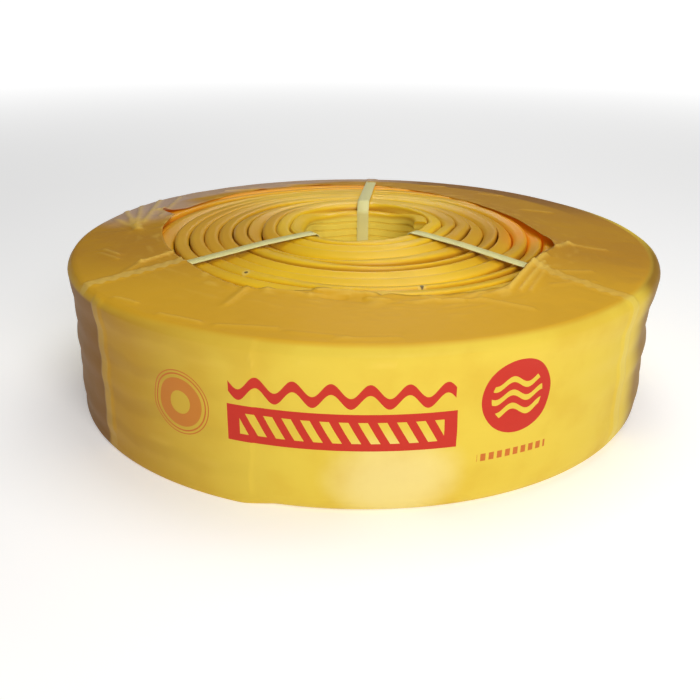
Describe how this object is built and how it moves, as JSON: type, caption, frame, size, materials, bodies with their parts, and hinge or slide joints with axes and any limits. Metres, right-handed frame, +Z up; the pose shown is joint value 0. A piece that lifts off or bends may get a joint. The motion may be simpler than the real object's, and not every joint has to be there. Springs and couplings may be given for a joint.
{
  "type": "pvc waterstop roll",
  "caption": "Wrapped roll of ribbed yellow PVC waterstop strip, wound edge up around an open bore, held by plastic straps and lying flat.",
  "frame": {"origin": "on the floor under the middle of the rim", "axes": "+Z up along the bore, -Y towards the side that the picture shows from the front, +X to its right"},
  "size_m": [0.6136, 0.6136, 0.1692],
  "materials": {
    "pvc_strip": "semi-gloss extruded soft PVC, golden yellow",
    "strap_plastic": "pale green-cream polypropylene strapping",
    "wrap_film": "glossy wrinkled yellow packing film with plain red print"
  },
  "bodies": {
    "root": {"waterstop_coil": "pvc_strip", "strap_back": "strap_plastic", "strap_left": "strap_plastic", "strap_right": "strap_plastic", "wrap_film": "wrap_film"}
  },
  "joints": []
}
